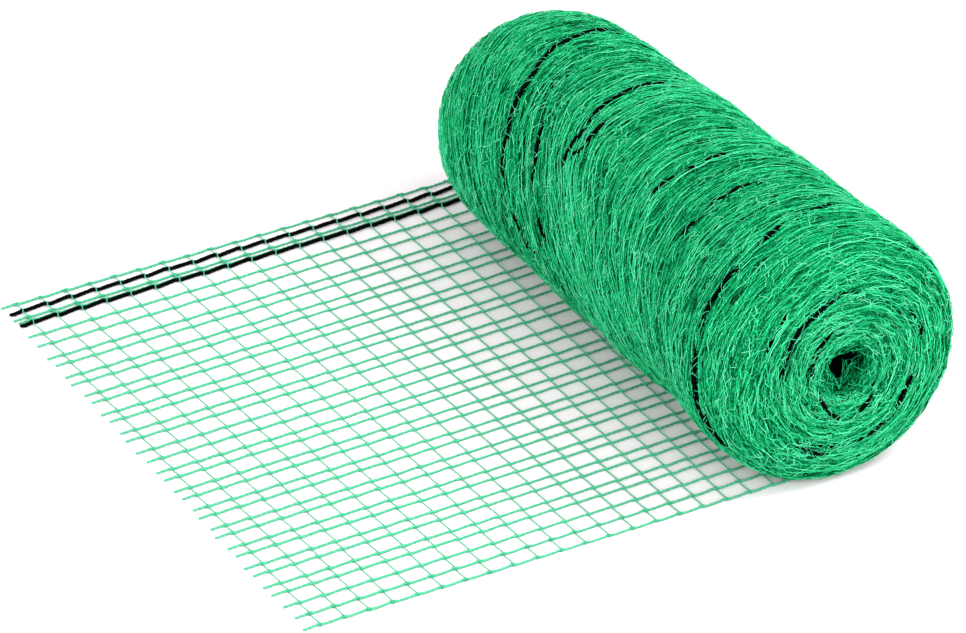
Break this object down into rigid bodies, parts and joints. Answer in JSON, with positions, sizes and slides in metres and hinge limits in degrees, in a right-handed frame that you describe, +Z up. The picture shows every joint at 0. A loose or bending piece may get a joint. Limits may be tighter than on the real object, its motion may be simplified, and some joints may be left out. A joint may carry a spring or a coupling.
{
  "type": "roll of deer fence netting",
  "caption": "Roll of green knitted fence netting lying on its side, with its free end laid out flat and two black cords along one edge.",
  "frame": {"origin": "middle of the whole object's footprint, on the floor it lies on", "axes": "+X from the cut edge towards the roll, +Y along the roll towards the edge with the black cords, +Z up"},
  "size_m": [0.5049, 0.491, 0.1868],
  "materials": {
    "netting": "knitted green polyethylene strands, satin, slightly translucent at the loops",
    "cord": "black twisted cord, matt"
  },
  "bodies": {
    "root": {"net_roll": "netting", "net_laid": "netting", "border_cord_outer": "cord", "border_cord_inner": "cord"}
  },
  "joints": []
}
